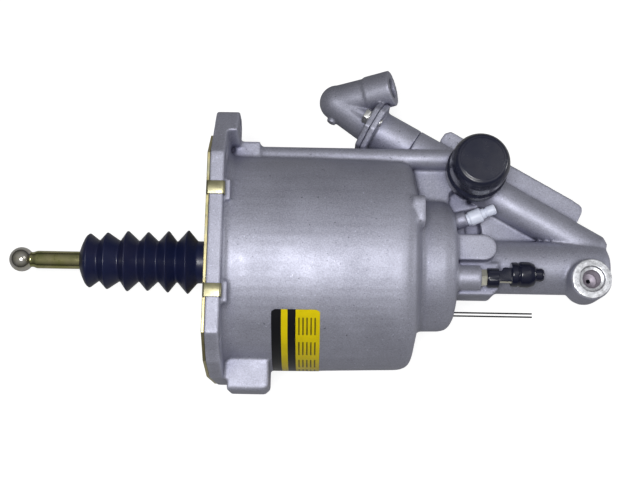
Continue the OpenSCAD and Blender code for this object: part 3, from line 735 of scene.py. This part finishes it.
def bleed_cap():
    """Rubber cap: ring round the nipple's neck, strap, and a ribbed dome with a pull tip."""
    bore_r, bead_r, dome_r, tip_r, bore_end = 4.2, 8.3, 8.7, 4.5, 213.9
    outside = [(bore_r, 201.3), (7.8, 201.3, 0.2), (bead_r, 201.9, 0.4), (bead_r, 205.3, 0.5),
               (7.6, 206.1, 0.4), (dome_r, 207.5, 0.6), (dome_r, 213.5, 1.2), (7.2, 216.9, 0.9),
               (tip_r, 217.7, 0.6), (tip_r, 221.9, 0.9), (3.6, 223.2, 0.5), (0, 223.2)]
    bore = [(0, bore_end), (3.2, bore_end), (bore_r, bore_end - 3)]
    dome = lathe("dome", outside + bore, BLEED_AXIS, X, 72, 4, 40)
    # The outside hangs off to one side and the bore stays on the nipple's axis
    for v in dome.data.vertices:
        off_axis = (v.co - BLEED_AXIS * MM).yz.length
        if off_axis > (bore_r + 0.1) * MM or v.co.x > (bore_end + 0.6) * MM:
            v.co += Vector((0, 2.5, 0.6)) * MM
    ring_r, start, end = 6.6, 185.2, 193.2
    band = [(bore_r, start, 0.4), (ring_r, start, 0.9), (ring_r, end, 0.9), (bore_r, end, 0.4)]
    ring = lathe("ring", band, BLEED_AXIS, X, 56, 4, 40)
    outline = [(186, -2.9), (204.7, -2.9), (204.7, 4.1), (202, 6.3), (195.6, 6.3), (194.6, 4.1), (186, 4.1)]
    strap_z, strap_t = 4.4, 1.8
    strap = prism("strap", outline, strap_t, frame_matrix(BLEED_AXIS + Z * strap_z, Z, X), 0.5)
    obj = join("bleed_cap_rubber", [dome, ring, strap])
    finish_piece(obj, BLEED_RUBBER, "bleed_cap", "black_rubber", "bleed_cap")


def plug():
    """White nylon plug with a collar and a grooved head, tipped out of its recess."""
    yaw, tilt = math.radians(22), math.radians(80)
    axis = Vector((math.cos(yaw) * math.sin(tilt), math.sin(yaw) * math.sin(tilt), math.cos(tilt)))
    stem_r, collar_r, barrel_r, head_r, groove_r = 3, 4.3, 5.1, 3.6, 3.1
    profile = [(0, 4), (stem_r, 4, 0.4), (stem_r, 16), (collar_r, 16, 0.3), (collar_r, 17.6, 0.3),
               (barrel_r, 18.2, 0.4), (barrel_r, 26.2, 0.4), (head_r, 27.0, 0.4), (head_r, 29.0, 0.3),
               (groove_r, 29.4, 0.2), (groove_r, 30.4, 0.2), (head_r, 30.8, 0.3), (head_r, 35.8, 0.5),
               (2.8, 36.8, 0.3), (0, 36.8)]
    obj = lathe("vent_plug_moulded", profile, PLUG, axis, 48, 3, 35)
    finish_piece(obj, NYLON, "housing", "white_nylon", "vent_plug")


def body_radius(x):
    """Outer radius of the air cylinder at x, in millimetres."""
    start, middle, end = BODY_TAPER
    (x0, r0), (x1, r1) = (start, middle) if x < middle[0] else (middle, end)
    return r0 + (r1 - r0) * (x - x0) / (x1 - x0)


def label():
    """Thin film that follows the cylinder, with rounded corners."""
    rows, cols = 60, 24
    margin, lift, film_t, corner, mean_r = 0.1, 0.22, 0.1, 2.5, 74
    x0, x1 = LABEL_X[0] + margin, LABEL_X[1] - margin
    first, last = LABEL_ANGLES
    bm = bmesh.new()
    low, high = [], []
    for i in range(rows + 1):
        a = math.radians(first + (last - first) * i / rows)
        to_edge = mean_r * math.radians(min(i, rows - i) / rows * (last - first))
        inset = corner - math.sqrt(corner ** 2 - (corner - to_edge) ** 2) if to_edge < corner else 0
        out = Vector((0, -math.sin(a), math.cos(a)))
        width = x1 - x0 - 2 * inset
        top = []
        for j in range(cols + 1):
            x = x0 + inset + width * j / cols
            top.append((X * x + out * (body_radius(x) + lift)) * MM)
        low.append([bm.verts.new(p - out * film_t * MM) for p in top])
        high.append([bm.verts.new(p) for p in top])
    for i in range(rows):
        for j in range(cols):
            bm.faces.new((high[i][j], high[i][j + 1], high[i + 1][j + 1], high[i + 1][j]))
            bm.faces.new((low[i][j], low[i + 1][j], low[i + 1][j + 1], low[i][j + 1]))
    rim = [(0, j) for j in range(cols)] + [(i, cols) for i in range(rows)]
    rim += [(rows, j) for j in range(cols, 0, -1)] + [(i, 0) for i in range(rows, 0, -1)]
    for (i, j), (k, m) in zip(rim, rim[1:] + rim[:1]):
        bm.faces.new((low[i][j], low[k][m], high[k][m], high[i][j]))
    obj = clean_object("label_film_patch", bm, 50)
    finish_piece(obj, LABEL, "housing", "label_film", "label")


# Studio, in metres

def camera():
    """Camera above the port side, tipped a little towards -Y and rolled by a degree, as in the photograph."""
    target, distance = Vector((73, 17.4, 0)) * MM, 0.8
    tip_sin, tip_cos, roll = 0.199, 0.980, math.radians(1.0)
    back = Vector((0, -tip_sin, tip_cos)).normalized()
    lift = Vector((0, tip_cos, tip_sin)).normalized()
    right = X * math.cos(roll) + lift * math.sin(roll)
    up = lift * math.cos(roll) - X * math.sin(roll)
    data = bpy.data.cameras.new("camera")
    data.lens, data.sensor_width = 64.3, 36
    data.clip_start, data.clip_end = 0.05, 20
    obj = new_object("camera", data)
    turn = Matrix((right, up, back)).transposed().to_4x4()
    obj.matrix_world = Matrix.Translation(target + back * distance) @ turn
    bpy.context.scene.camera = obj


def world():
    """White to the camera, nearly dark to matt surfaces, a bright ceiling over dark walls to shiny ones."""
    data = bpy.data.worlds.new("world")
    bpy.context.scene.world = data
    data.use_nodes = True
    tree = data.node_tree
    back = tree.nodes["Background"]
    back.inputs["Color"].default_value = (1, 1, 1, 1)
    ray = tree.nodes.new("ShaderNodeLightPath")
    way = tree.nodes.new("ShaderNodeSeparateXYZ")
    tree.links.new(tree.nodes.new("ShaderNodeTexCoord").outputs["Generated"], way.inputs["Vector"])
    room = tree.nodes.new("ShaderNodeMapRange")
    for key, value in (("From Min", 0.1), ("From Max", 0.92), ("To Min", 0.03), ("To Max", 0.36)):
        room.inputs[key].default_value = value
    tree.links.new(way.outputs["Z"], room.inputs["Value"])
    shiny = tree.nodes.new("ShaderNodeMapRange")
    shiny.inputs["To Min"].default_value = 0.07
    tree.links.new(ray.outputs["Is Glossy Ray"], shiny.inputs["Value"])
    tree.links.new(room.outputs["Result"], shiny.inputs["To Max"])
    seen = tree.nodes.new("ShaderNodeMath")
    seen.operation = "MAXIMUM"
    tree.links.new(ray.outputs["Is Camera Ray"], seen.inputs[0])
    tree.links.new(shiny.outputs["Result"], seen.inputs[1])
    tree.links.new(seen.outputs["Value"], back.inputs["Strength"])


def lamps():
    """Large key overhead, a faint fill, and a weak lamp that catches the shoulders facing the rear."""
    for name, place, target, size, power in (("key", (0.0, -0.17, 1.05), (0.06, 0, 0), 0.32, 8.8),
                                             ("fill", (0.6, 0.2, 1.0), (0.1, 0, 0), 0.5, 0.6),
                                             ("side", (1.6, 0.1, 0.22), (0.15, 0, 0), 0.5, 4.5)):
        data = bpy.data.lights.new(name, "AREA")
        data.shape, data.size, data.energy = "DISK", size, power
        obj = new_object(name, data)
        obj.location = place
        obj.rotation_mode = "QUATERNION"
        obj.rotation_quaternion = (Vector(target) - Vector(place)).to_track_quat("-Z", "Y")


def floor():
    """White floor, mostly lit by itself, so that only a faint shadow shows."""
    bm = bmesh.new()
    bmesh.ops.create_grid(bm, x_segments=1, y_segments=1, size=3.0)
    obj = clean_object("floor", bm)
    obj.location = (0.07, 0, FLOOR_Z * MM)
    s = Nodes("floor_white")
    tint = s.ramp(s.noise(3, 2), [(0.3, grey(0.34)), (0.7, grey(0.35))])
    path = s.new("ShaderNodeLightPath")
    glow = s.maths("ADD", s.maths("MULTIPLY", path.outputs["Is Camera Ray"], 0.85),
                   s.maths("MULTIPLY", path.outputs["Is Glossy Ray"], 0.10))
    s.principled(Base_Color=tint, Roughness=0.9, Specular_IOR_Level=0.1, Emission_Color=grey(1.0),
                 Emission_Strength=glow)
    obj.data.materials.append(s.material)


dress_cad()
castings()
clips()
bellows()
pushrod()
springs()
cap()
port()
bolts()
bleed_cap()
plug()
label()
camera()
world()
lamps()
floor()
bpy.context.scene.view_settings.view_transform = "Standard"
